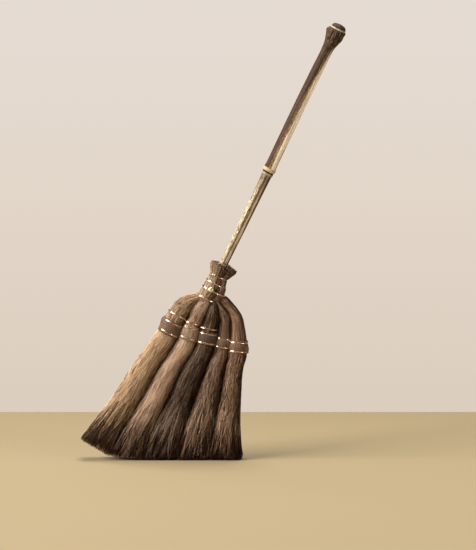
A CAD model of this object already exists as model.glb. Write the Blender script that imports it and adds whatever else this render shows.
import math

import bpy
import numpy as np
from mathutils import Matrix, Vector, noise


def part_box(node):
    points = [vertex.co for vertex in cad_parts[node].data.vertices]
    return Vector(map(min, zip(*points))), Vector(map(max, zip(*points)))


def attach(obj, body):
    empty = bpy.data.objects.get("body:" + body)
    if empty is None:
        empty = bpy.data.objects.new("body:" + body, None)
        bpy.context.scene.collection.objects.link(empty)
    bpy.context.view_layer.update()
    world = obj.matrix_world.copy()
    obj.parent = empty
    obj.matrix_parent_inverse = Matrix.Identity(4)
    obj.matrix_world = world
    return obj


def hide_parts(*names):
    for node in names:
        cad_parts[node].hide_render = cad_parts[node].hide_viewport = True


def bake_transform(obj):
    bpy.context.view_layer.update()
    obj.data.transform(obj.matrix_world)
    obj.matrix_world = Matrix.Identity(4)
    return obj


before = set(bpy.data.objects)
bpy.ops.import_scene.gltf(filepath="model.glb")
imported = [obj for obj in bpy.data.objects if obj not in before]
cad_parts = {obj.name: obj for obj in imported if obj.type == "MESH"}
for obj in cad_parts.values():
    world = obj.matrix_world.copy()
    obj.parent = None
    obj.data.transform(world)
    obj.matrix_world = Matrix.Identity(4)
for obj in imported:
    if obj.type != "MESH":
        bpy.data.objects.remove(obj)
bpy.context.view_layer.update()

MM = 0.001
# The floor ends here, behind the broom, and the wall begins
FLOOR_BACK = 0.5646
RNG = np.random.default_rng(7)

# The handle's frame: h runs up it from its foot, p across it in the plane of the head
LEAN = math.radians(25.8)
HANDLE_FOOT = np.array([88.0, 0.0, 322.0]) * MM
HANDLE_LEN = 584 * MM
UP_HANDLE = np.array([math.sin(LEAN), 0, math.cos(LEAN)])
ACROSS_HANDLE = np.array([math.cos(LEAN), 0, -math.sin(LEAN)])
BACK = np.array([0.0, 1.0, 0.0])

# Neck sections by height in mm: sideways shift, half width, half depth
NECK_H = [-11, 10.3, 40.5, 62]
NECK_SHIFT = [2.5, 6.4, 2.6, 3.2]
NECK_W = [20.8, 23.4, 16.8, 25]
NECK_D = [16.5, 16.5, 14.4, 21]
WIRE_HEIGHTS = [40.5, 25.5, 10.3, -7.9]

# Per bundle: radius in mm at its lowest and at its top band, lean in degrees, and how far its middle
# and its top band lie above the lowest, in mm, with 0 for no top band
LOW_R = [19, 17.2, 17.6, 13, 16.8]
HIGH_R = [17.4, 14.2, 16, 11.8, 15.8]
BOUND_LEAN = [27, 18, 11, 10, 5]
MID_H = [20.4, 20.5, 18, 15.8, 17.2]
TOP_H = [38, 29.5, 28.3, 0, 0]
# Where each tail lies in the neck, as shares of its half width and depth: centre, then size
TAILS = [
    (-0.38, 0.26, 0.60, 0.72),
    (-0.34, -0.38, 0.60, 0.60),
    (0.10, -0.42, 0.56, 0.56),
    (0.46, -0.28, 0.52, 0.60),
    (0.42, 0.32, 0.58, 0.66),
]
# How high up the handle each tail ends, how far its end flares sideways, and how much it grows, in mm
TAIL_TOPS = [(60, -3, 0), (62, -1, 1), (58, 0, 0), (63, 0, 2), (61, 2, 1)]
# The edges that the shoulders share, as X, Z in mm, from the neck down to the bound lengths.
# Bundle 1's top band sits higher, so its shoulder is a level shorter.
SHOULDER_EDGES = [
    [(64, 320), (38, 313), (20, 298)],
    [(79, 312), (63, 301), (54, 287), (48, 274)],
    [(94, 306), (89, 295), (84, 283), (80, 272)],
    [(104, 304), (107, 294), (109, 283), (111, 274)],
    [(110, 305), (119, 294), (127, 282), (132, 271)],
    [(119, 317), (134, 303), (146, 287), (154, 271)],
]
# Level by level: the shoulders' place in Y and their half depth, in mm
SHOULDER_Y = [(2, 2, 1), (-5, -5, -3, -1), (-7, -7, -4, -2), (-5, -5, -3, -1), (3, 4, 3, 1)]
SHOULDER_DEPTH = [(12, 15.5, 17), (9.5, 12, 14, 14.5), (9, 12.5, 15, 16), (8, 10, 12, 12.5),
                  (11, 14, 15, 15.5)]
# How far each bundle is wider than deep, on either side, to close on its neighbours, in mm
SWELL = [1.4, 1.9, 2.4, 3.4, 1.6]
# The six edges of the brush ends as X, Z in mm, level by level down to the foot
EDGES = [
    [(-58, 184), (-98, 122), (-140, 62), (-157, 38)],
    [(-6, 182), (-42, 118), (-80, 56), (-106, 8)],
    [(38, 181), (8, 118), (-22, 56), (-42, 0)],
    [(85, 181), (62, 118), (40, 56), (26, 0)],
    [(120, 178), (109.5, 118), (98, 56), (88, 0)],
    [(155, 176), (151, 118), (148, 56), (149, 0)],
]
# Level by level: half depth in mm, each bundle's width as a share of the room between its edges, and
# the exponent of its outline, 1 for an oval and less for a squarer section
BRUSH_DEPTH = [18.5, 20, 21, 21.5]
BRUSH_SPREAD = [0.985, 0.985, 1.04, 1.10]
BRUSH_OVAL = [1, 1, 0.6, 0.36]
BUNDLES = 5
# A brush end's fibres start to bend at its lowest band, and follow it fully this much further down its
# middle line, which leans by this much
# Rows along the forms that the fibres lie on
BRUSH_ROWS = 90
WRAP_ROWS = 150
# Heights in mm of every bundle's stations down the neck, below the end of its tail
NECK_STEPS = (54, 47, 40.5, 33, 25.5, 18, 10.3, 2, -6)
NECK_FOOT = len(NECK_STEPS)
TOP_WIRE = 1 + NECK_STEPS.index(WIRE_HEIGHTS[0])
# How far apart a wire's turns lie, and its radius, in mm
NECK_WIRE = (1.35, 0.66)
BAND_WIRE = (1.3, 0.64)
LACING_R = 0.62
WIRE_TURNS = 2
# Where each sleeve's corner sticks out: angle, share of its height, and how far in mm
CUFF_FLARES = [(math.pi, 0.85, 3.4), (math.pi, 0.1, 0.6), (0, 0.1, 0.5), (0, 0.9, 0.5), (0, 0.05, 2.2)]
# The tack from the top of its dome to its tip, as radius and depth in mm, for a head as wide as the part's
TACK_HEAD_R = 5.2
TACK = [(0, -0.8), (1.8, -0.6), (3.4, 0.0), (4.8, 1.1), (5.6, 2.3), (5.9, 3.3), (5.7, 3.6), (1.0, 3.5),
        (0.9, 15.5), (0, 16.2)]

# Tones of single fibres, from dark to light, and of each bundle's wound fibre, as 8-bit sRGB
FIBRE_TONES = [(29, 18, 11), (46, 32, 22), (65, 48, 35), (86, 66, 50), (108, 86, 67),
               (132, 109, 87), (160, 136, 111), (190, 165, 138)]
WOUND_TONES = [(110, 84, 67), (154, 127, 105), (88, 68, 55), (120, 96, 80), (120, 90, 70)]
# How each bundle's fibres differ from the common tones, as a factor on red, green and blue
BUNDLE_TINTS = [(1.06, 1.02, 0.95), (1.03, 1.0, 0.99), (0.95, 0.93, 0.94), (1.02, 0.98, 0.97),
                (1.03, 0.97, 0.94)]
# Dark, middle and light share of a wound fibre's tone, and the tones of the packed fibre inside
SHADES = (0.5, 0.8, 1.15)
PACKED_TONES = [(22, 15, 11), (44, 32, 24), (70, 52, 39)]
# Tones of each bundle's long fibres, wound fibres and open tips, as places in its palette
BRUSH_TONE = [5.8, 6.5, 2.2, 3.6, 3.8]
WRAP_TONE = [4.6, 4.7, 2.2, 3.6, 4.2]
TIP_TONE = [2.3, 1.5, 1.8, 1.5, 1.4]
# How far down each brush end its fibres part, as a share of its length
FRINGE = [0.60, 0.62, 0.64, 0.66, 0.68]
# How much lighter or darker each tail's trimmed end is than its bundle
TAIL_SHADE = [-0.8, -0.8, -0.4, -1.0, -1.2]

# Each lamp's name, place and size in m, power in W and colour, and the place that all of them face
LAMPS = [
    ("key", (-5.2, -2.2, 3.2), 4.0, 960, (1.0, 0.98, 0.95)),
    ("strip", (2.0, -1.5, 1.1), 0.3, 17, (1.0, 0.98, 0.96)),
    ("top", (0.2, 0.6, 3.4), 1.8, 130, (1, 1, 1)),
]
LAMP_AIM = (0.1, 0, 0.3)
# A very long lens, in mm, far in front, in m, and a little above level, so that sizes stay true
CAMERA_LENS = 420
CAMERA_AWAY = 12.38
CAMERA_TILT = math.radians(8)
CAMERA_AIM = np.array([0.1452, 0, 0.3594])


# ---------- materials ----------

def linear(red, green, blue):
    """An 8-bit sRGB colour as scene-linear RGBA."""
    return [(c / 255 / 12.92 if c < 10 else ((c / 255 + 0.055) / 1.055) ** 2.4)
            for c in (red, green, blue)] + [1.0]


def new_material(name, roughness, metallic=0.0, colour=(0.5, 0.5, 0.5, 1)):
    material = bpy.data.materials.new(name)
    material.use_nodes = True
    shader = material.node_tree.nodes["Principled BSDF"]
    shader.inputs["Base Color"].default_value = colour
    shader.inputs["Roughness"].default_value = roughness
    shader.inputs["Metallic"].default_value = metallic
    return material, material.node_tree, shader


def node(tree, kind, **settings):
    made = tree.nodes.new(kind)
    for key, value in settings.items():
        if key in made.inputs:
            made.inputs[key].default_value = value
        else:
            setattr(made, key, value)
    return made


def noise_on(tree, vector, scale, stretch=(1, 1, 1), detail=4.0, rough=0.55):
    """A noise value in 0 to 1, drawn out along the axes with a small stretch."""
    mapping = node(tree, "ShaderNodeMapping")
    mapping.inputs["Scale"].default_value = stretch
    tree.links.new(vector, mapping.inputs["Vector"])
    made = node(tree, "ShaderNodeTexNoise", Scale=scale, Detail=detail, Roughness=rough)
    tree.links.new(mapping.outputs["Vector"], made.inputs["Vector"])
    return made.outputs["Fac"]


def ramp_on(tree, value, stops):
    ramp = node(tree, "ShaderNodeValToRGB")
    tree.links.new(value, ramp.inputs["Fac"])
    elements = ramp.color_ramp.elements
    while len(elements) < len(stops):
        elements.new(0.5)
    for element, (place, colour) in zip(elements, stops):
        element.position = place
        element.color = colour
    return ramp.outputs["Color"]


def mix_colours(tree, factor, first, second, blend="MIX"):
    mix = node(tree, "ShaderNodeMix", data_type="RGBA", blend_type=blend)
    for socket, value in ((mix.inputs["Factor"], factor), (mix.inputs[6], first), (mix.inputs[7], second)):
        if isinstance(value, bpy.types.NodeSocket):
            tree.links.new(value, socket)
        else:
            socket.default_value = value
    return mix.outputs[2]


def bump_on(tree, shader, height, strength, distance):
    bump = node(tree, "ShaderNodeBump", Strength=strength, Distance=distance)
    tree.links.new(height, bump.inputs["Height"])
    tree.links.new(bump.outputs["Normal"], shader.inputs["Normal"])


def grain_vector(tree):
    """The grain attribute: round the piece, along it, and bundle number, in metres."""
    return node(tree, "ShaderNodeAttribute", attribute_name="grain").outputs["Vector"]


def palm_material(name, dark, mid, light, netting=0.0):
    """Palm fibre lying close: fine lengthwise fibres, broad streaks, and as much crossed netting as asked."""
    material, tree, shader = new_material(name, roughness=0.62)
    shader.inputs["Specular IOR Level"].default_value = 0.15
    grain = grain_vector(tree)
    fine = noise_on(tree, grain, 1500, (1, 0.03, 1), detail=3)
    broad = noise_on(tree, grain, 160, (1, 0.12, 1), detail=4)
    colour = mix_colours(tree, 0.45, ramp_on(tree, fine, [(0.3, dark), (0.5, mid), (0.7, light)]),
                         ramp_on(tree, broad, [(0.32, dark), (0.52, mid), (0.72, light)]))
    height = fine
    if netting:
        slant = node(tree, "ShaderNodeMapping")
        slant.inputs["Rotation"].default_value = (0, 0, 0.45)
        tree.links.new(grain, slant.inputs["Vector"])
        crossing = noise_on(tree, slant.outputs["Vector"], 900, (1, 0.05, 1), detail=2)
        colour = mix_colours(tree, netting, colour, ramp_on(tree, crossing, [(0.4, dark), (0.62, light)]))
        height = crossing
    tree.links.new(colour, shader.inputs["Base Color"])
    bump_on(tree, shader, height, 0.7, 0.0006)
    return material


def fibre_palette(bundle):
    """Materials for single fibres of one bundle, from dark to light."""
    made = []
    for k, tone in enumerate(FIBRE_TONES):
        colour = linear(*[min(255, c * tint) for c, tint in zip(tone, BUNDLE_TINTS[bundle])])
        material, _, shader = new_material(f"fibre_{bundle + 1}_tone_{k}", 0.42 + 0.02 * k, colour=colour)
        shader.inputs["Specular IOR Level"].default_value = 0.04 + 0.04 * k
        made.append(material)
    return made


def copper_material():
    material, tree, shader = new_material("copper_wire", roughness=0.2, metallic=1.0)
    place = node(tree, "ShaderNodeTexCoord").outputs["Object"]
    tarnish = noise_on(tree, place, 260, detail=5)
    colour = ramp_on(tree, tarnish, [(0.3, linear(190, 142, 112)), (0.48, linear(240, 204, 178)),
                                     (0.7, linear(255, 232, 214))])
    tree.links.new(colour, shader.inputs["Base Color"])
    bump_on(tree, shader, noise_on(tree, place, 1400, detail=2), 0.25, 0.0002)
    return material


def brass_material():
    material, tree, shader = new_material("brass_dome", roughness=0.28, metallic=1.0)
    place = node(tree, "ShaderNodeTexCoord").outputs["Object"]
    spots = noise_on(tree, place, 700, detail=4)
    colour = ramp_on(tree, spots, [(0.3, linear(206, 180, 132)), (0.5, linear(246, 228, 186)),
                                   (0.7, linear(255, 246, 220))])
    tree.links.new(colour, shader.inputs["Base Color"])
    bump_on(tree, shader, noise_on(tree, place, 900, detail=2), 0.15, 0.0002)
    return material


# ---------- meshes ----------

def unit(v):
    return v / np.maximum(np.linalg.norm(v, axis=-1, keepdims=True), 1e-12)


def add_piece(name, points, faces, materials, slots=None, grain=None):
    """A mesh piece from points (n, 3) and a list of face arrays, each (m, corners)."""
    mesh = bpy.data.meshes.new(name)
    mesh.vertices.add(len(points))
    mesh.vertices.foreach_set("co", np.asarray(points, np.float32).ravel())
    corners = np.concatenate([f.ravel() for f in faces])
    sizes = np.concatenate([np.full(len(f), f.shape[1]) for f in faces])
    mesh.loops.add(len(corners))
    mesh.loops.foreach_set("vertex_index", corners.astype(np.int32))
    mesh.polygons.add(len(sizes))
    starts = np.concatenate([[0], np.cumsum(sizes)[:-1]])
    mesh.polygons.foreach_set("loop_start", starts.astype(np.int32))
    mesh.update(calc_edges=True)
    mesh.shade_smooth()
    for material in materials:
        mesh.materials.append(material)
    if slots is not None:
        mesh.polygons.foreach_set("material_index", slots.astype(np.int32))
    if grain is not None:
        made = mesh.attributes.new("grain", "FLOAT_VECTOR", "POINT")
        made.data.foreach_set("vector", np.asarray(grain, np.float32).ravel())
    piece = bpy.data.objects.new(name, mesh)
    bpy.context.scene.collection.objects.link(piece)
    return piece


def grid_faces(rows, around, first=0, flip=False):
    """Quads of a tube of rows rings, each of that many points."""
    j, k = np.meshgrid(np.arange(rows - 1), np.arange(around), indexing="ij")
    a = first + j * around + k
    b = first + j * around + (k + 1) % around
    quads = np.stack([a, b, b + around, a + around], -1).reshape(-1, 4)
    return quads[:, ::-1] if flip else quads


def cap_faces(ring, centre, flip=False):
    """Triangles from a ring of points to the point at its centre."""
    tris = np.stack([np.roll(ring, -1), ring, np.full(len(ring), centre)], -1)
    return tris[:, ::-1] if flip else tris


def closed_faces(rows, around, first=0):
    """Faces of a tube of rings whose two end points come after its last ring."""
    ring = first + np.arange(around)
    total = first + rows * around
    return [grid_faces(rows, around, first), cap_faces(ring, total),
            cap_faces(ring + (rows - 1) * around, total + 1, flip=True)]


def ring_angles(count):
    return 2 * math.pi * np.arange(count) / count


def tube(path, radius, sides, first):
    """Points and faces of a round tube along path (n, 3). first is the number of its first point."""
    path = np.asarray(path, float)
    n = len(path)
    along = unit(np.gradient(path, axis=0))
    guide = unit(path.mean(0) - path + 1e-6)
    side = unit(np.cross(along, guide))
    out = np.cross(side, along)
    turn = ring_angles(sides)
    size = np.broadcast_to(np.asarray(radius, float).reshape(-1, 1, 1), (n, 1, 1))
    points = path[:, None] + size * (np.cos(turn)[None, :, None] * side[:, None]
                                     + np.sin(turn)[None, :, None] * out[:, None])
    points = np.concatenate([points.reshape(-1, 3), path[:1], path[-1:]])
    return points, closed_faces(n, sides, first)


def tube_piece(name, tubes, material):
    """One piece of several tubes, each (path, radius, sides)."""
    points, faces = [], []
    first = 0
    for path, radius, sides in tubes:
        more, made = tube(path, radius, sides, first)
        points.append(more)
        faces += made
        first += len(more)
    quads = np.concatenate([f for f in faces if f.shape[1] == 4])
    tris = [f for f in faces if f.shape[1] == 3]
    return add_piece(name, np.concatenate(points), [quads] + tris, [material])


def smooth(stations, count):
    """A smooth run of count rows through stations, whose first three columns are places.
    Slopes are held back where they would overshoot."""
    pts = np.asarray(stations, float)
    step = np.linalg.norm(np.diff(pts[:, :3], axis=0), axis=1)
    s = np.concatenate([[0], np.cumsum(step)])
    rise = np.diff(pts, axis=0) / step[:, None]
    before, after = rise[:-1], rise[1:]
    agree = before * after > 0
    mean = np.where(agree, 2 * before * after / np.where(agree, before + after, 1), 0)
    slope = np.concatenate([rise[:1], mean, rise[-1:]])
    at = np.linspace(0, s[-1], count)
    j = np.clip(np.searchsorted(s, at, side="right") - 1, 0, len(s) - 2)
    h = (s[j + 1] - s[j])[:, None]
    u = (at - s[j])[:, None] / h
    return (pts[j] * (2 * u**3 - 3 * u**2 + 1) + slope[j] * h * (u**3 - 2 * u**2 + u)
            + pts[j + 1] * (3 * u**2 - 2 * u**3) + slope[j + 1] * h * (u**3 - u**2))


def length_shares(stations):
    """How far along its run each station lies, from 0 to 1."""
    step = np.linalg.norm(np.diff(np.asarray(stations)[:, :3], axis=0), axis=1)
    return np.concatenate([[0], np.cumsum(step)]) / step.sum()


def on_form(form, t, theta, rho):
    """Places on a form at length t (0 to 1), angle theta and share rho of its radius.
    theta 0 faces the form's right, and a quarter turn faces the front. A form's rows hold the
    centre, the way across, the way through, and an exponent: 1 for an oval, less for a squarer section."""
    x = np.clip(t, 0, 1) * (len(form) - 1)
    j = np.clip(x.astype(int), 0, len(form) - 2)
    f = (x - j)[..., None]
    row = form[j] * (1 - f) + form[j + 1] * f
    right, front = np.cos(theta), np.sin(theta)
    power = 2 / row[..., 9]
    deep = np.sign(front) * np.clip(1 - np.abs(right) ** power, 0, 1) ** (1 / power)
    return (row[..., 0:3] + (rho * right)[..., None] * row[..., 3:6]
            - (rho * deep)[..., None] * row[..., 6:9])


def loft(name, form, material, around=120, ridges=0.012, rho=1.0, bundle=0):
    """A closed surface over a form, with fine lengthwise ridges."""
    rows = len(form)
    theta = ring_angles(around)
    t = np.linspace(0, 1, rows)
    grid_t, grid_theta = np.meshgrid(t, theta, indexing="ij")
    comb = RNG.normal(0, 1, (2, around))
    wander = np.sin(grid_t * 5 + comb[0][None] * 2)
    share = rho * (1 + ridges * (comb[1][None] * 0.6 + wander * 0.4))
    points = on_form(form, grid_t, grid_theta, share)
    lengths = np.concatenate([[0], np.cumsum(np.linalg.norm(np.diff(form[:, :3], axis=0), axis=1))])
    width = np.linalg.norm(form[:, 3:6], axis=1).mean()
    grain = np.stack([grid_theta * width, np.broadcast_to(lengths[:, None], grid_t.shape),
                      np.full(grid_t.shape, 0.31 * bundle)], -1).reshape(-1, 3)
    ends = np.stack([form[0, :3], form[-1, :3]])
    grain = np.concatenate([grain, grain[:1], grain[-1:]])
    points = np.concatenate([points.reshape(-1, 3), ends])
    return add_piece(name, points, closed_faces(rows, around), [material], grain=grain)


def strands(name, paths, radius, tone, palette):
    """Fibres as thin three-sided tubes along paths (n, s, 3). tone (n, s - 1) picks the palette's slot."""
    n, s, _ = paths.shape
    along = unit(np.gradient(paths, axis=1))
    side = unit(np.cross(along, BACK))
    up = np.cross(side, along)
    turn = 2 * math.pi * (np.arange(3)[None] / 3 + RNG.random((n, 1)))
    size = np.broadcast_to(radius, (n, s))[:, :, None, None]
    ring = size * (np.cos(turn)[:, None, :, None] * side[:, :, None]
                   + np.sin(turn)[:, None, :, None] * up[:, :, None])
    points = (paths[:, :, None] + ring).reshape(-1, 3)
    i, j, k = np.meshgrid(np.arange(n), np.arange(s - 1), np.arange(3), indexing="ij")
    a = (i * s + j) * 3 + k
    b = (i * s + j) * 3 + (k + 1) % 3
    quads = np.stack([a, b, b + 3, a + 3], -1).reshape(-1, 4)
    base = np.arange(n)[:, None] * s * 3
    low = base + np.array([2, 1, 0])
    high = base + (s - 1) * 3 + np.array([0, 1, 2])
    slots = np.clip(np.rint(tone), 0, len(palette) - 1).astype(int)
    slots = np.concatenate([np.repeat(slots.ravel(), 3), slots[:, 0], slots[:, -1]])
    return add_piece(name, points, [quads, low, high], palette, slots)


# ---------- forms ----------

def in_handle(h, p, y=0.0):
    """A place by height, sideways and depth in the handle's frame, all in mm."""
    return HANDLE_FOOT + (h * UP_HANDLE + p * ACROSS_HANDLE + y * BACK) * MM


def centre_of(name):
    low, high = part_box(name)
    return (np.array(low) + np.array(high)) / 2


def pinched(h, places, depth=0.06, reach=2.4):
    """How far wires at these places draw a bundle in, as a factor on its radius."""
    return 1 - depth * sum(math.exp(-((h - at) / reach) ** 2) for at in places)


def with_across(rows):
    """Rows of place, half width, half depth turned into rows of place, across and depth vectors."""
    along = unit(np.gradient(rows[:, :3], axis=0))
    across = unit(np.cross(BACK, along))
    oval = np.ones((len(rows), 1))
    return np.concatenate([rows[:, :3], -across * rows[:, 3:4], BACK[None] * rows[:, 4:5], oval], 1)


def bound_radius(i, h):
    top = max(TOP_H[i], MID_H[i])
    return LOW_R[i] + (HIGH_R[i] - LOW_R[i]) * h / top


def band_heights(i):
    return [0, MID_H[i]] + ([TOP_H[i]] if TOP_H[i] else [])


def bound_frame(i):
    """Upward and rightward directions of bundle i's bound length, and the middle of its lowest band."""
    lean = math.radians(BOUND_LEAN[i])
    up = np.array([math.sin(lean), 0, math.cos(lean)])
    right = np.array([up[2], 0, -up[0]])
    return up, right, centre_of(f"band_low_{i + 1}")


def upper_stations(i):
    """Stations of bundle i from its trimmed tail, down the neck and shoulder, to its lowest band."""
    made = []
    share_p, share_y, size_p, size_y = TAILS[i]
    tail_top, flare, grow = TAIL_TOPS[i]
    for h in (tail_top, *NECK_STEPS):
        w = np.interp(h, NECK_H, NECK_W)
        d = np.interp(h, NECK_H, NECK_D)
        shift = np.interp(h, NECK_H, NECK_SHIFT)
        draw = pinched(h, WIRE_HEIGHTS, 0.07, 3.5) * 1.02
        over = max(0.0, (h - 42) / 20)
        place = in_handle(h, shift + share_p * w * draw + flare * over, share_y * d * draw)
        made.append([*place, (size_p * w * draw + grow * over) * MM, size_y * d * draw * MM])
    for level in range(len(SHOULDER_Y[i])):
        left = np.array(SHOULDER_EDGES[i][level])
        right = np.array(SHOULDER_EDGES[i + 1][level])
        x, z = (left + right) / 2
        half = math.hypot(*(right - left)) / 2 + 1.2
        made.append([x * MM, SHOULDER_Y[i][level] * MM, z * MM, half * MM, SHOULDER_DEPTH[i][level] * MM])
    up, _, foot = bound_frame(i)
    bands = band_heights(i)
    top = max(bands)
    for h in sorted({top, (top + MID_H[i]) / 2, MID_H[i], MID_H[i] / 2, 0, -5}, reverse=True):
        draw = pinched(h, bands)
        r = bound_radius(i, h)
        made.append([*(foot + h * MM * up), (r + SWELL[i]) * draw * MM, r * draw * MM])
    return np.array(made)


def brush_form(i, count):
    """Bundle i from just inside its cuff to the floor, between the edges it shares with its neighbours."""
    up, right, foot = bound_frame(i)
    radius = LOW_R[i]
    rows = []
    for h, grow in ((9, 0.9), (0, 0.93), (-7, 1.0)):
        wide = (radius + SWELL[i]) * grow * MM
        rows.append([*(foot + h * MM * up), *(right * wide), 0, radius * grow * MM, 0, 1])
    for level in range(len(BRUSH_DEPTH)):
        left = np.array([EDGES[i][level][0], 0, EDGES[i][level][1]]) * MM
        far = np.array([EDGES[i + 1][level][0], 0, EDGES[i + 1][level][1]]) * MM
        half = (far - left) / 2 * BRUSH_SPREAD[level]
        rows.append([*((left + far) / 2), *half, 0, BRUSH_DEPTH[level] * MM, 0, BRUSH_OVAL[level]])
    return smooth(rows, count)


# ---------- fibres ----------

def patches(theta, t, around, along):
    """Random values from -1 to 1 that change smoothly round a bundle and along it."""
    table = RNG.uniform(-1, 1, (along + 1, around))
    x = (theta / (2 * math.pi) % 1) * around
    j = x.astype(int) % around
    f = x - np.floor(x)
    y = np.clip(t, 0, 1) * along
    k = np.clip(y.astype(int), 0, along - 1)
    g = y - k
    low = table[k, j] * (1 - f) + table[k, (j + 1) % around] * f
    high = table[k + 1, j] * (1 - f) + table[k + 1, (j + 1) % around] * f
    return low * (1 - g) + high * g


def cover_paths(form, n, t, rho, around, wander=0.05, relief=0.02):
    """n fibres over a form at lengths t, gathered into locks that stand proud or lie low.
    Returns their paths, how light each lock is along each fibre, and their angles."""
    s = t.shape[1]
    u = np.linspace(0, 1, s)[None]
    phase = 2 * math.pi * RNG.random((n, 1))
    theta = (2 * math.pi * RNG.random((n, 1)) + wander * RNG.normal(0, 1, (n, 1)) * u
             + wander * 0.4 * np.sin(9 * u + phase))
    locks = (patches(theta, t, 3 * around, 16) * 0.9 + patches(theta, t, around, 7) * 0.5
             + patches(theta, t, around // 4, 3) * 0.22)
    dive = np.sin(2 * math.pi * (RNG.uniform(1.5, 5, (n, 1)) * u + RNG.random((n, 1))))
    return on_form(form, t, theta, rho + relief * locks + 0.9 * relief * dive), locks, theta


def buried(theta, i):
    """How far a fibre lies in the dark between its bundle and the next, from 0 to 1."""
    right = np.clip((np.cos(theta) - 0.45) / 0.4, 0, 1)
    left = np.clip((-np.cos(theta) - 0.72) / 0.2, 0, 1) * (i > 0)
    return right + left


def brush_fibres(i, layer, form, palette):
    """A layer of long fibres over a brush end, which break up into its open foot."""
    n, s = 1300, 19
    end = RNG.uniform(0.74, 0.95, (n, 1))
    t = end * np.linspace(0, 1, s)[None]
    rho = RNG.uniform(0.94, 0.995, (n, 1))
    paths, locks, theta = cover_paths(form, n, t, rho, 40, 0.06, 0.018)
    radius = MM * (0.40 - 0.18 * (t / end) ** 2) * RNG.choice([0.8, 1.0, 1.3], (n, 1))
    fade = np.clip((t - FRINGE[i]) / 0.16, 0, 1)
    tone = BRUSH_TONE[i] * (1 - fade) + TIP_TONE[i] * fade + 0.9 * locks + RNG.normal(0, 1.5, (n, 1))
    tone -= 3.2 * buried(theta, i) * (1 - fade)
    return strands(f"brush_{i + 1}_shell_fibres_{layer + 1}", paths, radius, tone[:, :-1], palette)


def near_floor(paths):
    """How deep in the contact shadow each stretch of each fibre lies, from 0 to 1."""
    return np.clip(1 - paths[:, 1:, 2] / (6 * MM), 0, 1)


def foot_tufts(i, form, palette):
    """Short tufts of the trimmed foot: fibres that close up to a tip, every tuft with its own slant."""
    tufts, per, s = 620, 6, 8
    n = tufts * per
    tuft = np.repeat(np.arange(tufts), per)
    rho = np.where(RNG.random(tufts) < 0.62, RNG.uniform(0.9, 1.02, tufts),
                   np.sqrt(RNG.random(tufts)) * 0.9)
    theta = 2 * math.pi * RNG.random(tufts)
    start = RNG.uniform(0.58, 0.76, tufts)
    end = 1 - np.abs(RNG.normal(0, 0.008, tufts))
    end -= (rho > 0.9) * (0.018 + np.abs(RNG.normal(0, 0.014, tufts)))
    slant = RNG.normal(0, 0.19, tufts)
    lift = RNG.normal(0.02, 0.05, tufts)
    u = np.linspace(0, 1, s)[None]
    close = 1 - 0.6 * u
    own = RNG.normal(0, 1, (3, n, 1))
    t = (start[tuft, None] + 0.02 * own[2]) * (1 - u) + (end[tuft, None] + 0.008 * own[2]) * u
    around = theta[tuft, None] + 0.07 * own[0] * close + slant[tuft, None] * u**2
    out = rho[tuft, None] + 0.04 * own[1] * close + lift[tuft, None] * u**2 - 0.08 * (1 - u) ** 2
    paths = on_form(form, t, around, np.maximum(out, 0.02))
    paths[..., 2] = np.maximum(paths[..., 2], 0.4 * MM)
    radius = MM * (0.52 - 0.34 * u**1.5) * RNG.uniform(0.75, 1.25, (n, 1))
    light = RNG.choice([-2.0, -1.4, -0.8, 0.2, 2.4], tufts)[tuft, None] + RNG.normal(0, 0.9, (n, 1))
    depth = 1.6 * (rho[tuft, None] < 0.9) + 2.0 * np.clip(1 - rho[tuft, None], 0, 1)
    tone = TIP_TONE[i] + light - depth - 0.4 + 0.8 * (1 - u[:, :-1]) - 5 * near_floor(paths)
    return strands(f"brush_{i + 1}_foot_tufts", paths, radius, tone, palette)


def cross_fibres(name, form, start, reach, tone, contrast, palette, shaded_from):
    """Short fibres that cross the others, lighter or darker than what they lie on by contrast.
    Those that start above the share shaded_from darken down the bundle's right side."""
    n, s = len(start), 8
    u = np.linspace(0, 1, s)[None]
    t = np.minimum(start[:, None] + reach[:, None] * u, 0.99)
    around = 2 * math.pi * RNG.random((n, 1)) + RNG.normal(0, 0.26, (n, 1)) * u
    out = 0.975 + RNG.uniform(0.01, 0.06, (n, 1)) * np.sin(math.pi * np.clip(u, 0.02, 1) * 0.85)
    paths = on_form(form, t, around, out)
    paths[..., 2] = np.maximum(paths[..., 2], 0.6 * MM)
    radius = MM * (0.38 - 0.16 * u) * RNG.uniform(0.8, 1.2, (n, 1))
    shade = tone[:, None] + contrast[:, None] - 5 * near_floor(paths)
    if shaded_from:
        beside = np.clip((np.cos(around[:, :-1]) - 0.45) / 0.4, 0, 1)
        shade -= 2.4 * beside * (start[:, None] < shaded_from)
    return strands(name, paths, radius, shade, palette)


def stray_fibres(i, form, palette):
    """Single fibres that cross the long ones, and cross each other more openly at the foot."""
    high, low = 2600, 1300
    start = np.concatenate([RNG.uniform(0.04, 0.6, high), RNG.uniform(0.5, 0.88, low)])
    reach = np.concatenate([RNG.uniform(0.06, 0.16, high), RNG.uniform(0.10, 0.24, low)])
    contrast = np.concatenate([RNG.choice([-3.0, -1.6, 1.0, 2.4], high),
                               RNG.choice([-0.8, 1.6, 2.8, 4.2], low)])
    fade = np.clip((start - 0.45) / 0.3, 0, 1)
    tone = BRUSH_TONE[i] * (1 - fade) + TIP_TONE[i] * fade
    return cross_fibres(f"brush_{i + 1}_stray_fibres", form, start, reach, tone, contrast, palette, 0.6)


def bend_with_brush(piece, i):
    """The piece stays with the broom at its lowest band, and follows its brush end further down."""
    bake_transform(piece)
    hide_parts(f"brush_{i + 1}")


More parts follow.
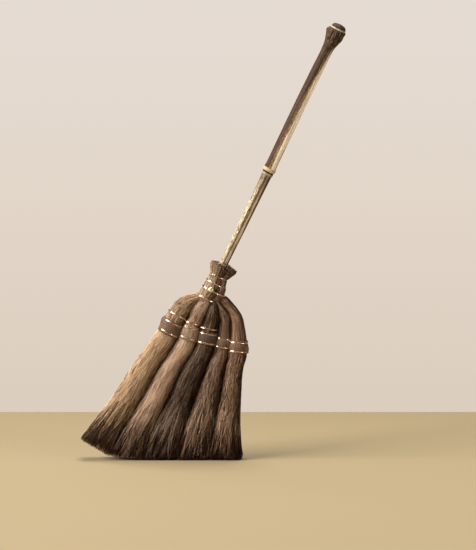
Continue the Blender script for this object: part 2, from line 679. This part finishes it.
def make_brush(i, palette, material):
    """The open end of a bundle: its packed middle, widened towards its neighbours, and its fibres."""
    form = brush_form(i, BRUSH_ROWS)
    inner = form[:-1].copy()
    left = 1.14 if i > 0 else 0.98
    right = 1.14 if i < BUNDLES - 1 else 0.98
    inner[:, :3] += inner[:, 3:6] * (right - left) / 2
    inner[:, 3:6] *= (right + left) / 2
    inner[:, 6:9] *= 0.82
    packed = loft(f"brush_{i + 1}_packed_fibre", inner, material, around=96, ridges=0.01, rho=0.92, bundle=i)
    made = [packed] + [brush_fibres(i, layer, form, palette) for layer in range(2)]
    made += [foot_tufts(i, form, palette), stray_fibres(i, form, palette)]
    for piece in made:
        bend_with_brush(piece, i)


def ride_on_broom(piece, slot, *nodes):
    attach(piece, "broom")
    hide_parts(*nodes)


def wrap_fibres(i, layer, form, knots, palette):
    """A layer of fibres along a bundle from its tail to its lowest band, with points at every pinch."""
    middles = (knots[:-1] + knots[1:])[NECK_FOOT:NECK_FOOT + 5] / 2
    n = 750
    t = np.repeat(np.sort(np.concatenate([knots, middles]))[None], n, 0)
    t[:, 0] += RNG.uniform(-0.012, 0.02, n)
    rho = RNG.uniform(0.955, 1.0, (n, 1))
    paths, locks, theta = cover_paths(form, n, t, rho, 36, 0.06, 0.016)
    paths = paths + np.clip(-t, 0, 1)[..., None] * 0.4 * UP_HANDLE
    radius = MM * 0.36 * RNG.choice([0.8, 1.0, 1.3], (n, 1))
    tail = np.clip(1 - t / 0.12, 0, 1) * TAIL_SHADE[i]
    tone = WRAP_TONE[i] + tail + 0.9 * locks + RNG.normal(0, 1.4, (n, 1))
    tone -= 2.4 * buried(theta, i) * (t > knots[NECK_FOOT - 1])
    return strands(f"wrap_{i + 1}_fibres_{layer + 1}", paths, radius, tone[:, :-1], palette)


def wrap_strays(i, form, knots, palette):
    """Short fibres that lie across the others on a bundle's tail and shoulder."""
    start = np.concatenate([RNG.uniform(knots[1], knots[TOP_WIRE], 250),
                            RNG.uniform(knots[NECK_FOOT], knots[NECK_FOOT + 3], 1100)])
    reach = RNG.uniform(0.03, 0.08, len(start))
    tone = np.full(len(start), WRAP_TONE[i])
    contrast = RNG.choice([-2.6, -1.4, 1.2, 2.4], len(start))
    return cross_fibres(f"wrap_{i + 1}_stray_fibres", form, start, reach, tone, contrast, palette, 1.0)


def make_wrap(i, palette, material):
    """The wound length of a bundle: its packed middle, and the fibres that show on it."""
    stations = upper_stations(i)
    knots = length_shares(stations)
    form = with_across(smooth(stations, WRAP_ROWS))
    made = [loft(f"wrap_{i + 1}_packed_fibre", form, material, rho=0.965, bundle=i)]
    made += [wrap_fibres(i, layer, form, knots, palette) for layer in range(2)]
    made.append(wrap_strays(i, form, knots, palette))
    for piece in made:
        ride_on_broom(piece, "bound_fibre", f"wrap_{i + 1}")


def make_core(i, material):
    """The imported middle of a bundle, under its cuff."""
    up, right, foot = bound_frame(i)
    r = LOW_R[i] * 0.62 * MM
    rows = [[*(foot + h * MM * up), *(right * r * k), 0, r * k, 0, 1]
            for h, k in ((-14, 0.7), (-6, 0.95), (4, 1.0), (14, 0.97), (24, 0.85))]
    piece = loft(f"core_{i + 1}_packed_fibre", smooth(rows, 30), material, around=48, ridges=0.03, bundle=i)
    ride_on_broom(piece, "loose_fibre", f"core_{i + 1}")


def make_cuff(i, material):
    """A sleeve of flat fibre wound round the bundle between its two lower bands, with turned edges."""
    up, right, foot = bound_frame(i)
    top = MID_H[i]
    around = 144
    theta = ring_angles(around)
    profile = [(-3.2, -1.4), (-3.8, 0.2), (-2.6, 1.1), (0, 0.2), (3, 1.1), (top * 0.5, 1.7), (top - 3, 1.1),
               (top, 0.2), (top + 2.4, 1.2), (top + 3.8, 0.3), (top + 3.2, -1.4)]
    wobble = 0.5 * np.sin(theta * 2 + i) + 0.35 * np.sin(theta * 5 + 2 * i) + RNG.normal(0, 0.08, around)
    lap = np.clip(((theta - 1.1 - 0.3 * i) % (2 * math.pi)) / 0.5, 0, 1)
    flare_at, flare_h, flare_out = CUFF_FLARES[i]
    flare = np.exp(-(((theta - flare_at + math.pi) % (2 * math.pi) - math.pi) / 0.5) ** 2) * flare_out
    levels = smooth(np.array([[h, 0, 0, out] for h, out in profile]), 44)[:, [0, 3]]
    rows = []
    for h, out in levels:
        share = math.exp(-((h - flare_h * top) / 7) ** 2)
        r = (bound_radius(i, h) + out + 0.5 * lap + 0.2 * wobble + share * flare) * MM
        droop = 1 if flare_h > 0.5 else -1
        edge = 0.8 if h > top / 2 else -0.6
        shift = (0.5 * wobble + share * flare * 0.6 * droop) * edge
        centre = foot + (h + shift)[:, None] * MM * up
        wide = (r + SWELL[i] * MM) * np.cos(theta)
        rows.append(centre + wide[:, None] * right - (r * np.sin(theta))[:, None] * BACK)
    points = np.concatenate(rows)
    grain = np.stack([np.tile(theta * bound_radius(i, 0) * MM, len(rows)),
                      np.repeat(np.linspace(0, (top + 6) * MM, len(rows)), around),
                      np.full(len(points), 0.7 + 0.2 * i)], -1)
    k = np.arange(around)
    last = (len(rows) - 1) * around
    inside = np.stack([k, (k + 1) % around, last + (k + 1) % around, last + k], -1)
    faces = [grid_faces(len(rows), around, flip=True), inside]
    piece = add_piece(f"cuff_{i + 1}_sleeve", points, faces, [material], grain=grain)
    ride_on_broom(piece, "bound_fibre", f"cuff_{i + 1}")


# ---------- wires ----------

def wire_turns(centre, up, right, half_w, half_d, wire):
    """One wire wound round an oval, ending in a twisted pair at the back."""
    pitch, gauge = wire
    steps = 72
    total = WIRE_TURNS * steps
    angle = -math.pi / 2 + 2 * math.pi * np.arange(total + 1) / steps
    climb = (np.arange(total + 1) / steps - WIRE_TURNS / 2) * pitch
    slack = 0.12 * np.sin(angle * 3 + RNG.uniform(0, 6)) + 0.08 * np.sin(angle * 5 + RNG.uniform(0, 6))
    path = (centre + (climb[:, None] * up
                      + ((half_w + slack) * np.cos(angle))[:, None] * right
                      - ((half_d + slack) * np.sin(angle))[:, None] * BACK) * MM)
    twist = np.linspace(0, 1, 40)
    root = centre + (half_d + 0.6) * MM * BACK
    pair = []
    for side in (0, math.pi):
        spin = twist * 6 * math.pi + side
        pair.append(root + ((twist * 9 - 1)[:, None] * right
                            + (0.8 * np.cos(spin))[:, None] * up
                            + (0.9 + 0.8 * np.sin(spin))[:, None] * BACK) * MM)
    return [(path, gauge * MM, 8)] + [(p, 0.7 * gauge * MM, 6) for p in pair]


def make_neck_wires(copper):
    for k, h in enumerate(WIRE_HEIGHTS):
        w = np.interp(h, NECK_H, NECK_W) + 1.0
        d = np.interp(h, NECK_H, NECK_D) + 1.2
        centre = in_handle(h, np.interp(h, NECK_H, NECK_SHIFT))
        piece = tube_piece(f"neck_wire_{k + 1}_turns",
                           wire_turns(centre, UP_HANDLE, ACROSS_HANDLE, w, d, NECK_WIRE), copper)
        ride_on_broom(piece, "copper_wire", f"neck_wire_{k + 1}")


def make_bands(i, copper):
    up, right, _ = bound_frame(i)
    for name, h in zip(("low", "mid", "top"), band_heights(i)):
        centre = centre_of(f"band_{name}_{i + 1}")
        r = bound_radius(i, h) + 1.2
        tubes = wire_turns(centre, up, right, r + SWELL[i], r, BAND_WIRE)
        if name == "top" and i > 0:
            tubes.append(lacing_link(i))
        piece = tube_piece(f"band_{name}_{i + 1}_turns", tubes, copper)
        ride_on_broom(piece, "copper_wire", f"band_{name}_{i + 1}")


def lacing_link(i):
    """The wire that runs across the front from the last bundle's top band to this one's."""
    ends = []
    for k, turn in ((i - 1, 0.55), (i, math.pi - 0.75)):
        up, right, _ = bound_frame(k)
        r = bound_radius(k, TOP_H[k]) + 1.6
        centre = centre_of(f"band_top_{k + 1}")
        ends.append(centre + ((r + SWELL[k]) * math.cos(turn) * right - r * math.sin(turn) * BACK) * MM)
    u = np.linspace(0, 1, 14)[:, None]
    sag = np.sin(math.pi * u) * np.array([0, -1.5, -1.2]) * MM
    return ends[0] * (1 - u) + ends[1] * u + sag, LACING_R * MM, 6


def make_tack(brass):
    """A brass tack with a domed head standing over the neck's third wire."""
    low, high = (np.array(v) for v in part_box("brass_tack"))
    r = (high[2] - low[2]) / 2 * 0.98
    centre = np.array([(low[0] + high[0]) / 2, low[1], (low[2] + high[2]) / 2])
    around = 48
    theta = ring_angles(around)
    scale = r / (TACK_HEAD_R * MM)
    rows = [centre + np.stack([q * MM * scale * np.cos(theta), np.full(around, y * MM),
                               q * MM * scale * np.sin(theta)], -1) for q, y in TACK[1:-1]]
    tip = [centre + BACK * TACK[0][1] * MM, centre + BACK * TACK[-1][1] * MM]
    points = np.concatenate(rows + [np.array(tip)])
    piece = add_piece("brass_tack_dome", points, closed_faces(len(rows), around), [brass])
    ride_on_broom(piece, "brass", "brass_tack")


# ---------- handle ----------

# The culm's outline: height and radius in mm
CULM = [(0, 8.2), (90, 8.2), (170, 8.8), (240, 9.6), (256, 10.2), (261, 11.6), (263.5, 10.9),
        (265, 11.2), (268, 13.0), (271.5, 12.6), (276, 11.4), (290, 11.1), (400, 11.3), (484, 11.1),
        (518, 10.8), (530, 11.3), (542, 13.2), (550, 15.6), (557, 16.8), (564, 16.6), (570, 15.0),
        (574, 13.8), (577, 12.6), (579.5, 10.2), (581, 4.0)]
# Heights in mm of the culm's joint, of the knob's lower end and of the cut round it
JOINT_H = 268
KNOB_H = 522
CUT_H = 571.5
# Where round the culm its long groove runs, above the joint
GROOVE_ANGLE = math.radians(142)
# Bumps of the root knob: height and angle in degrees, size and height in mm
KNOB_BUMPS = [(563, 178, 5.5, 3.4), (573, 60, 3.5, 0.8), (552, 20, 5.0, 1.2), (560, 150, 3.0, -1.2),
              (556, 80, 3.5, 1.0), (548, 130, 4.0, 1.2), (562, 300, 5.0, 2.0), (570, 230, 4.5, 1.8),
              (553, 250, 5.0, 1.5), (558, 50, 2.6, -1.0), (568, 8, 4.0, 1.2)]
# Tones across the culm, from its left side to its right, above and below the joint
UPPER_CULM = [(0.0, (62, 45, 33)), (0.16, (76, 56, 40)), (0.26, (50, 36, 27)), (0.32, (104, 77, 56)),
              (0.47, (150, 117, 88)), (0.54, (176, 146, 116)), (0.61, (250, 232, 204)),
              (0.90, (255, 242, 218)), (0.98, (150, 120, 92))]
LOWER_CULM = [(0.0, (176, 156, 120)), (0.12, (210, 194, 158)), (0.28, (216, 200, 166)),
              (0.38, (130, 101, 74)), (0.54, (116, 90, 66)), (0.63, (214, 194, 162)),
              (0.80, (232, 214, 184)), (0.88, (120, 94, 72)), (1.0, (92, 70, 54))]
KNOB_TONES = [(0.36, (30, 21, 15)), (0.52, (64, 46, 33)), (0.66, (122, 96, 72))]
# Marks round the handle: the heights in m over which each fades in and out, its strength and its tone
BRUISE = ((0.205, 0.250), (0.262, 0.258), 0.7, (76, 56, 40))
HANDLE_MARKS = [
    ((0.5698, 0.5706), (0.5730, 0.5722), 0.85, (176, 156, 130)),  # the pale cut round the knob
    ((0.5735, 0.5745), (1.0, 0.9), 0.8, (52, 40, 32)),  # the dark top of the knob, which doesn't fade out
    ((0.2652, 0.2666), (0.2735, 0.2715), 0.85, (182, 160, 122)),  # the pale ring over the joint
    ((0.2618, 0.2628), (0.2660, 0.2650), 1.0, (40, 28, 22)),  # the groove in the joint
    ((0.2565, 0.2585), (0.2625, 0.2612), 0.6, (150, 138, 124)),  # the bloom under the joint
]


def knob_relief(h, angle):
    out = 0.0
    for at, degrees, size, height in KNOB_BUMPS:
        turn = (angle - math.radians(degrees) + math.pi) % (2 * math.pi) - math.pi
        away = math.hypot(h - at, turn * 16)
        out += height * math.exp(-(away / size) ** 2)
    return out


def culm_relief(h, angle):
    """How far the culm's surface stands off its profile, in mm."""
    out = 0.12 * noise.noise(Vector((math.cos(angle) * 1.5, math.sin(angle) * 1.5, h * 0.03)))
    if h > JOINT_H:
        groove = (angle - GROOVE_ANGLE + math.pi) % (2 * math.pi) - math.pi
        out -= 0.8 * math.exp(-(groove / 0.22) ** 2) * math.exp(-(h - JOINT_H) / 130)
    if h > KNOB_H:
        rise = min(1.0, (h - KNOB_H) / 24)
        fold = noise.noise(Vector((math.cos(angle) * 3.4, math.sin(angle) * 3.4, h * 0.035)))
        fine = noise.noise(Vector((math.cos(angle) * 7, math.sin(angle) * 7, h * 0.12)))
        out += rise * (1.5 * fold + 0.7 * fine) + knob_relief(h, angle)
        rim = h - CUT_H - 1.2 * math.sin(angle)
        out -= 1.1 * math.exp(-(rim / 0.9) ** 2)
    return out


def between(tree, value, low, high, to_low=0.0, to_high=1.0):
    """The value's range low to high mapped to another range, and held at its ends."""
    made = node(tree, "ShaderNodeMapRange")
    for socket, number in zip(list(made.inputs)[1:5], (low, high, to_low, to_high)):
        socket.default_value = number
    tree.links.new(value, made.inputs["Value"])
    return made.outputs["Result"]


def combine(tree, operation, first, second):
    made = node(tree, "ShaderNodeMath", operation=operation)
    for socket, value in zip(made.inputs, (first, second)):
        if isinstance(value, bpy.types.NodeSocket):
            tree.links.new(value, socket)
        else:
            socket.default_value = value
    return made.outputs[0]


def toned(stops):
    return [(place, linear(*tone)) for place, tone in stops]


def marked(tree, height, colour, rise, fall, strength, tone):
    """The colour with a mark round the handle, which fades in over rise and out over fall."""
    mask = combine(tree, "MULTIPLY", between(tree, height, *rise), between(tree, height, *fall))
    return mix_colours(tree, combine(tree, "MULTIPLY", mask, strength), colour, linear(*tone))


def culm_colour(tree, grain, across, height):
    """The culm's bare and smoked sides, above and below its joint, and how far across it each place lies."""
    drift = combine(tree, "SUBTRACT", noise_on(tree, grain, 90, (1, 1, 0.12)), 0.5)
    drift = combine(tree, "MULTIPLY", drift, 0.010)
    to_knob = between(tree, height, 0.40, 0.53, 0.0, 0.006)
    side = combine(tree, "SUBTRACT", combine(tree, "ADD", across, drift), to_knob)
    upper = ramp_on(tree, between(tree, side, -0.0115, 0.0115), toned(UPPER_CULM))
    lower = ramp_on(tree, between(tree, side, -0.0085, 0.0085), toned(LOWER_CULM))
    above = between(tree, height, 0.262, 0.266)
    return mix_colours(tree, above, lower, upper), side


def handle_material():
    """Smoked bamboo: cream where it is bare, brown down one side, mottled, and dark at the knob."""
    material, tree, shader = new_material("smoked_bamboo", roughness=0.5)
    shader.inputs["Specular IOR Level"].default_value = 0.12
    grain = grain_vector(tree)
    split = node(tree, "ShaderNodeSeparateXYZ")
    tree.links.new(grain, split.inputs["Vector"])
    height = split.outputs["Z"]
    streaks = noise_on(tree, grain, 420, (1, 1, 0.03), detail=5, rough=0.6)
    mottles = noise_on(tree, grain, 380, (1, 1, 0.3), detail=6, rough=0.75)
    colour, side = culm_colour(tree, grain, split.outputs["X"], height)
    spots = ramp_on(tree, mottles, [(0.44, (0, 0, 0, 1)), (0.56, (0.9, 0.9, 0.9, 1))])
    dark_side = between(tree, side, 0.0, 0.003, 0.8, 0.2)
    colour = mix_colours(tree, combine(tree, "MULTIPLY", spots, dark_side), colour, linear(66, 47, 34))
    fine = ramp_on(tree, streaks, [(0.35, (0.6, 0.6, 0.6, 1)), (0.65, (1.2, 1.2, 1.2, 1))])
    colour = mix_colours(tree, 1.0, colour, fine, "MULTIPLY")
    grit = ramp_on(tree, noise_on(tree, grain, 620, (1, 1, 0.4), detail=3, rough=0.7),
                   [(0.38, (0.55, 0.52, 0.5, 1)), (0.62, (1.4, 1.42, 1.42, 1))])
    colour = mix_colours(tree, between(tree, side, 0.002, -0.001, 0.2, 0.9), colour,
                         mix_colours(tree, 1.0, colour, grit, "MULTIPLY"))
    colour = marked(tree, height, colour, *BRUISE)
    folds = noise_on(tree, grain, 330, (1, 1, 0.3), detail=6, rough=0.65)
    colour = mix_colours(tree, between(tree, height, 0.508, 0.538), colour,
                         ramp_on(tree, folds, toned(KNOB_TONES)))
    for mark in HANDLE_MARKS:
        colour = marked(tree, height, colour, *mark)
    tree.links.new(colour, shader.inputs["Base Color"])
    tree.links.new(between(tree, mottles, 0.3, 0.7, 0.55, 0.7), shader.inputs["Roughness"])
    bump_on(tree, shader, combine(tree, "ADD", streaks, mottles), 0.35, 0.0004)
    return material


def make_handle():
    rows = smooth(np.array([[h, 0, 0, r] for h, r in CULM]), 420)[:, [0, 3]]
    around = 96
    theta = ring_angles(around)
    points, grain = [], []
    for h, r in rows:
        relief = np.array([culm_relief(h, a) for a in theta])
        reach = r + relief
        sway = 0.9 * math.sin(h / 95.0) + 1.2 * max(0.0, (h - 530) / 54)
        p = reach * np.cos(theta) + sway
        y = -reach * np.sin(theta)
        points.append(in_handle(h, 0)[None] + (p[:, None] * ACROSS_HANDLE + y[:, None] * BACK) * MM)
        grain.append(np.stack([p, y, np.full(around, h)], -1) * MM)
    crown = [in_handle(0, 0), in_handle(HANDLE_LEN / MM - 2.6, 0.6)]
    points = np.concatenate(points + [np.array(crown)])
    grain = np.concatenate(grain + [np.array([[0, 0, 0], [0, 0, HANDLE_LEN]])])
    faces = closed_faces(len(rows), around)
    piece = add_piece("bamboo_culm", points, faces, [handle_material()], grain=grain)
    ride_on_broom(piece, "bamboo", "bamboo_handle")


# ---------- stage ----------

def floor_material():
    colour = linear(146, 128, 94)
    material, tree, shader = new_material("floor_paint", 0.9, colour=colour)
    place = node(tree, "ShaderNodeTexCoord").outputs["Object"]
    speck = noise_on(tree, place, 2200, detail=2)
    worn = mix_colours(tree, speck, colour, [c * 0.88 for c in colour[:3]] + [1])
    split = node(tree, "ShaderNodeSeparateXYZ")
    tree.links.new(place, split.inputs["Vector"])
    fade = ramp_on(tree, split.outputs["Y"], [(0.43, (1, 1, 1, 1)), (0.5, (0.88, 0.87, 0.83, 1))])
    tree.links.new(mix_colours(tree, 1.0, worn, fade, "MULTIPLY"), shader.inputs["Base Color"])
    return material


def make_floor():
    """A floor that ends behind the broom, where the wall begins."""
    bpy.ops.mesh.primitive_plane_add(size=1)
    floor = bpy.context.object
    floor.name = "floor"
    floor.scale = (9, 9, 1)
    floor.location = (0.15, FLOOR_BACK - 4.5, 0)
    floor.data.materials.append(floor_material())


def make_world():
    """A pale wall for the camera, soft light for the rest, and a dimmer room in reflections."""
    world = bpy.data.worlds.new("pale_room")
    bpy.context.scene.world = world
    world.use_nodes = True
    tree = world.node_tree
    ambient = tree.nodes["Background"]
    ambient.inputs["Color"].default_value = linear(246, 240, 232)
    ambient.inputs["Strength"].default_value = 0.22
    backdrop = node(tree, "ShaderNodeBackground")
    split = node(tree, "ShaderNodeSeparateXYZ")
    tree.links.new(node(tree, "ShaderNodeTexCoord").outputs["Generated"], split.inputs["Vector"])
    rise = node(tree, "ShaderNodeMapRange")
    rise.inputs["From Min"].default_value = -0.158
    rise.inputs["From Max"].default_value = -0.103
    tree.links.new(split.outputs["Z"], rise.inputs["Value"])
    wall = ramp_on(tree, rise.outputs["Result"], [(0, linear(219, 206, 191)), (0.5, linear(226, 213, 200)),
                                                  (1, linear(229, 219, 210))])
    tree.links.new(wall, backdrop.inputs["Color"])
    dim = node(tree, "ShaderNodeBackground")
    dim.inputs["Color"].default_value = linear(246, 236, 224)
    behind = node(tree, "ShaderNodeMapRange")
    for socket, number in (("From Min", 0.3), ("From Max", 0.8), ("To Min", 0.06), ("To Max", 0.6)):
        behind.inputs[socket].default_value = number
    tree.links.new(split.outputs["Y"], behind.inputs["Value"])
    tree.links.new(behind.outputs["Result"], dim.inputs["Strength"])
    path = node(tree, "ShaderNodeLightPath")
    shown = ambient.outputs[0]
    for ray, other in (("Is Glossy Ray", dim), ("Is Camera Ray", backdrop)):
        mix = node(tree, "ShaderNodeMixShader")
        tree.links.new(path.outputs[ray], mix.inputs[0])
        tree.links.new(shown, mix.inputs[1])
        tree.links.new(other.outputs[0], mix.inputs[2])
        shown = mix.outputs[0]
    tree.links.new(shown, tree.nodes["World Output"].inputs["Surface"])


def area_light(name, place, size, power, colour):
    data = bpy.data.lights.new(name, "AREA")
    data.size = size
    data.energy = power
    data.color = colour
    light = bpy.data.objects.new(name, data)
    bpy.context.scene.collection.objects.link(light)
    light.location = place
    light.rotation_euler = (Vector(LAMP_AIM) - Vector(place)).to_track_quat("-Z", "Y").to_euler()


def make_camera():
    data = bpy.data.cameras.new("camera")
    data.lens = CAMERA_LENS
    data.sensor_width = 36
    data.clip_end = 100
    camera = bpy.data.objects.new("camera", data)
    bpy.context.scene.collection.objects.link(camera)
    camera.location = CAMERA_AIM + CAMERA_AWAY * np.array([0, -math.cos(CAMERA_TILT), math.sin(CAMERA_TILT)])
    camera.rotation_euler = (math.pi / 2 - CAMERA_TILT, 0, 0)
    bpy.context.scene.camera = camera


def main():
    make_camera()
    make_floor()
    make_world()
    for lamp in LAMPS:
        area_light(*lamp)
    bpy.context.scene.view_settings.view_transform = "Standard"

    copper = copper_material()
    packed = palm_material("packed_fibre", *[linear(*tone) for tone in PACKED_TONES])
    make_handle()
    for i in range(BUNDLES):
        palette = fibre_palette(i)
        shades = [linear(*[c * k for c in WOUND_TONES[i]]) for k in SHADES]
        make_wrap(i, palette, palm_material(f"wrapped_fibre_{i + 1}", *shades))
        make_cuff(i, palm_material(f"cuff_fibre_{i + 1}", *shades, netting=0.4))
        make_core(i, packed)
        make_brush(i, palette, packed)
        make_bands(i, copper)
    make_neck_wires(copper)
    make_tack(brass_material())


main()
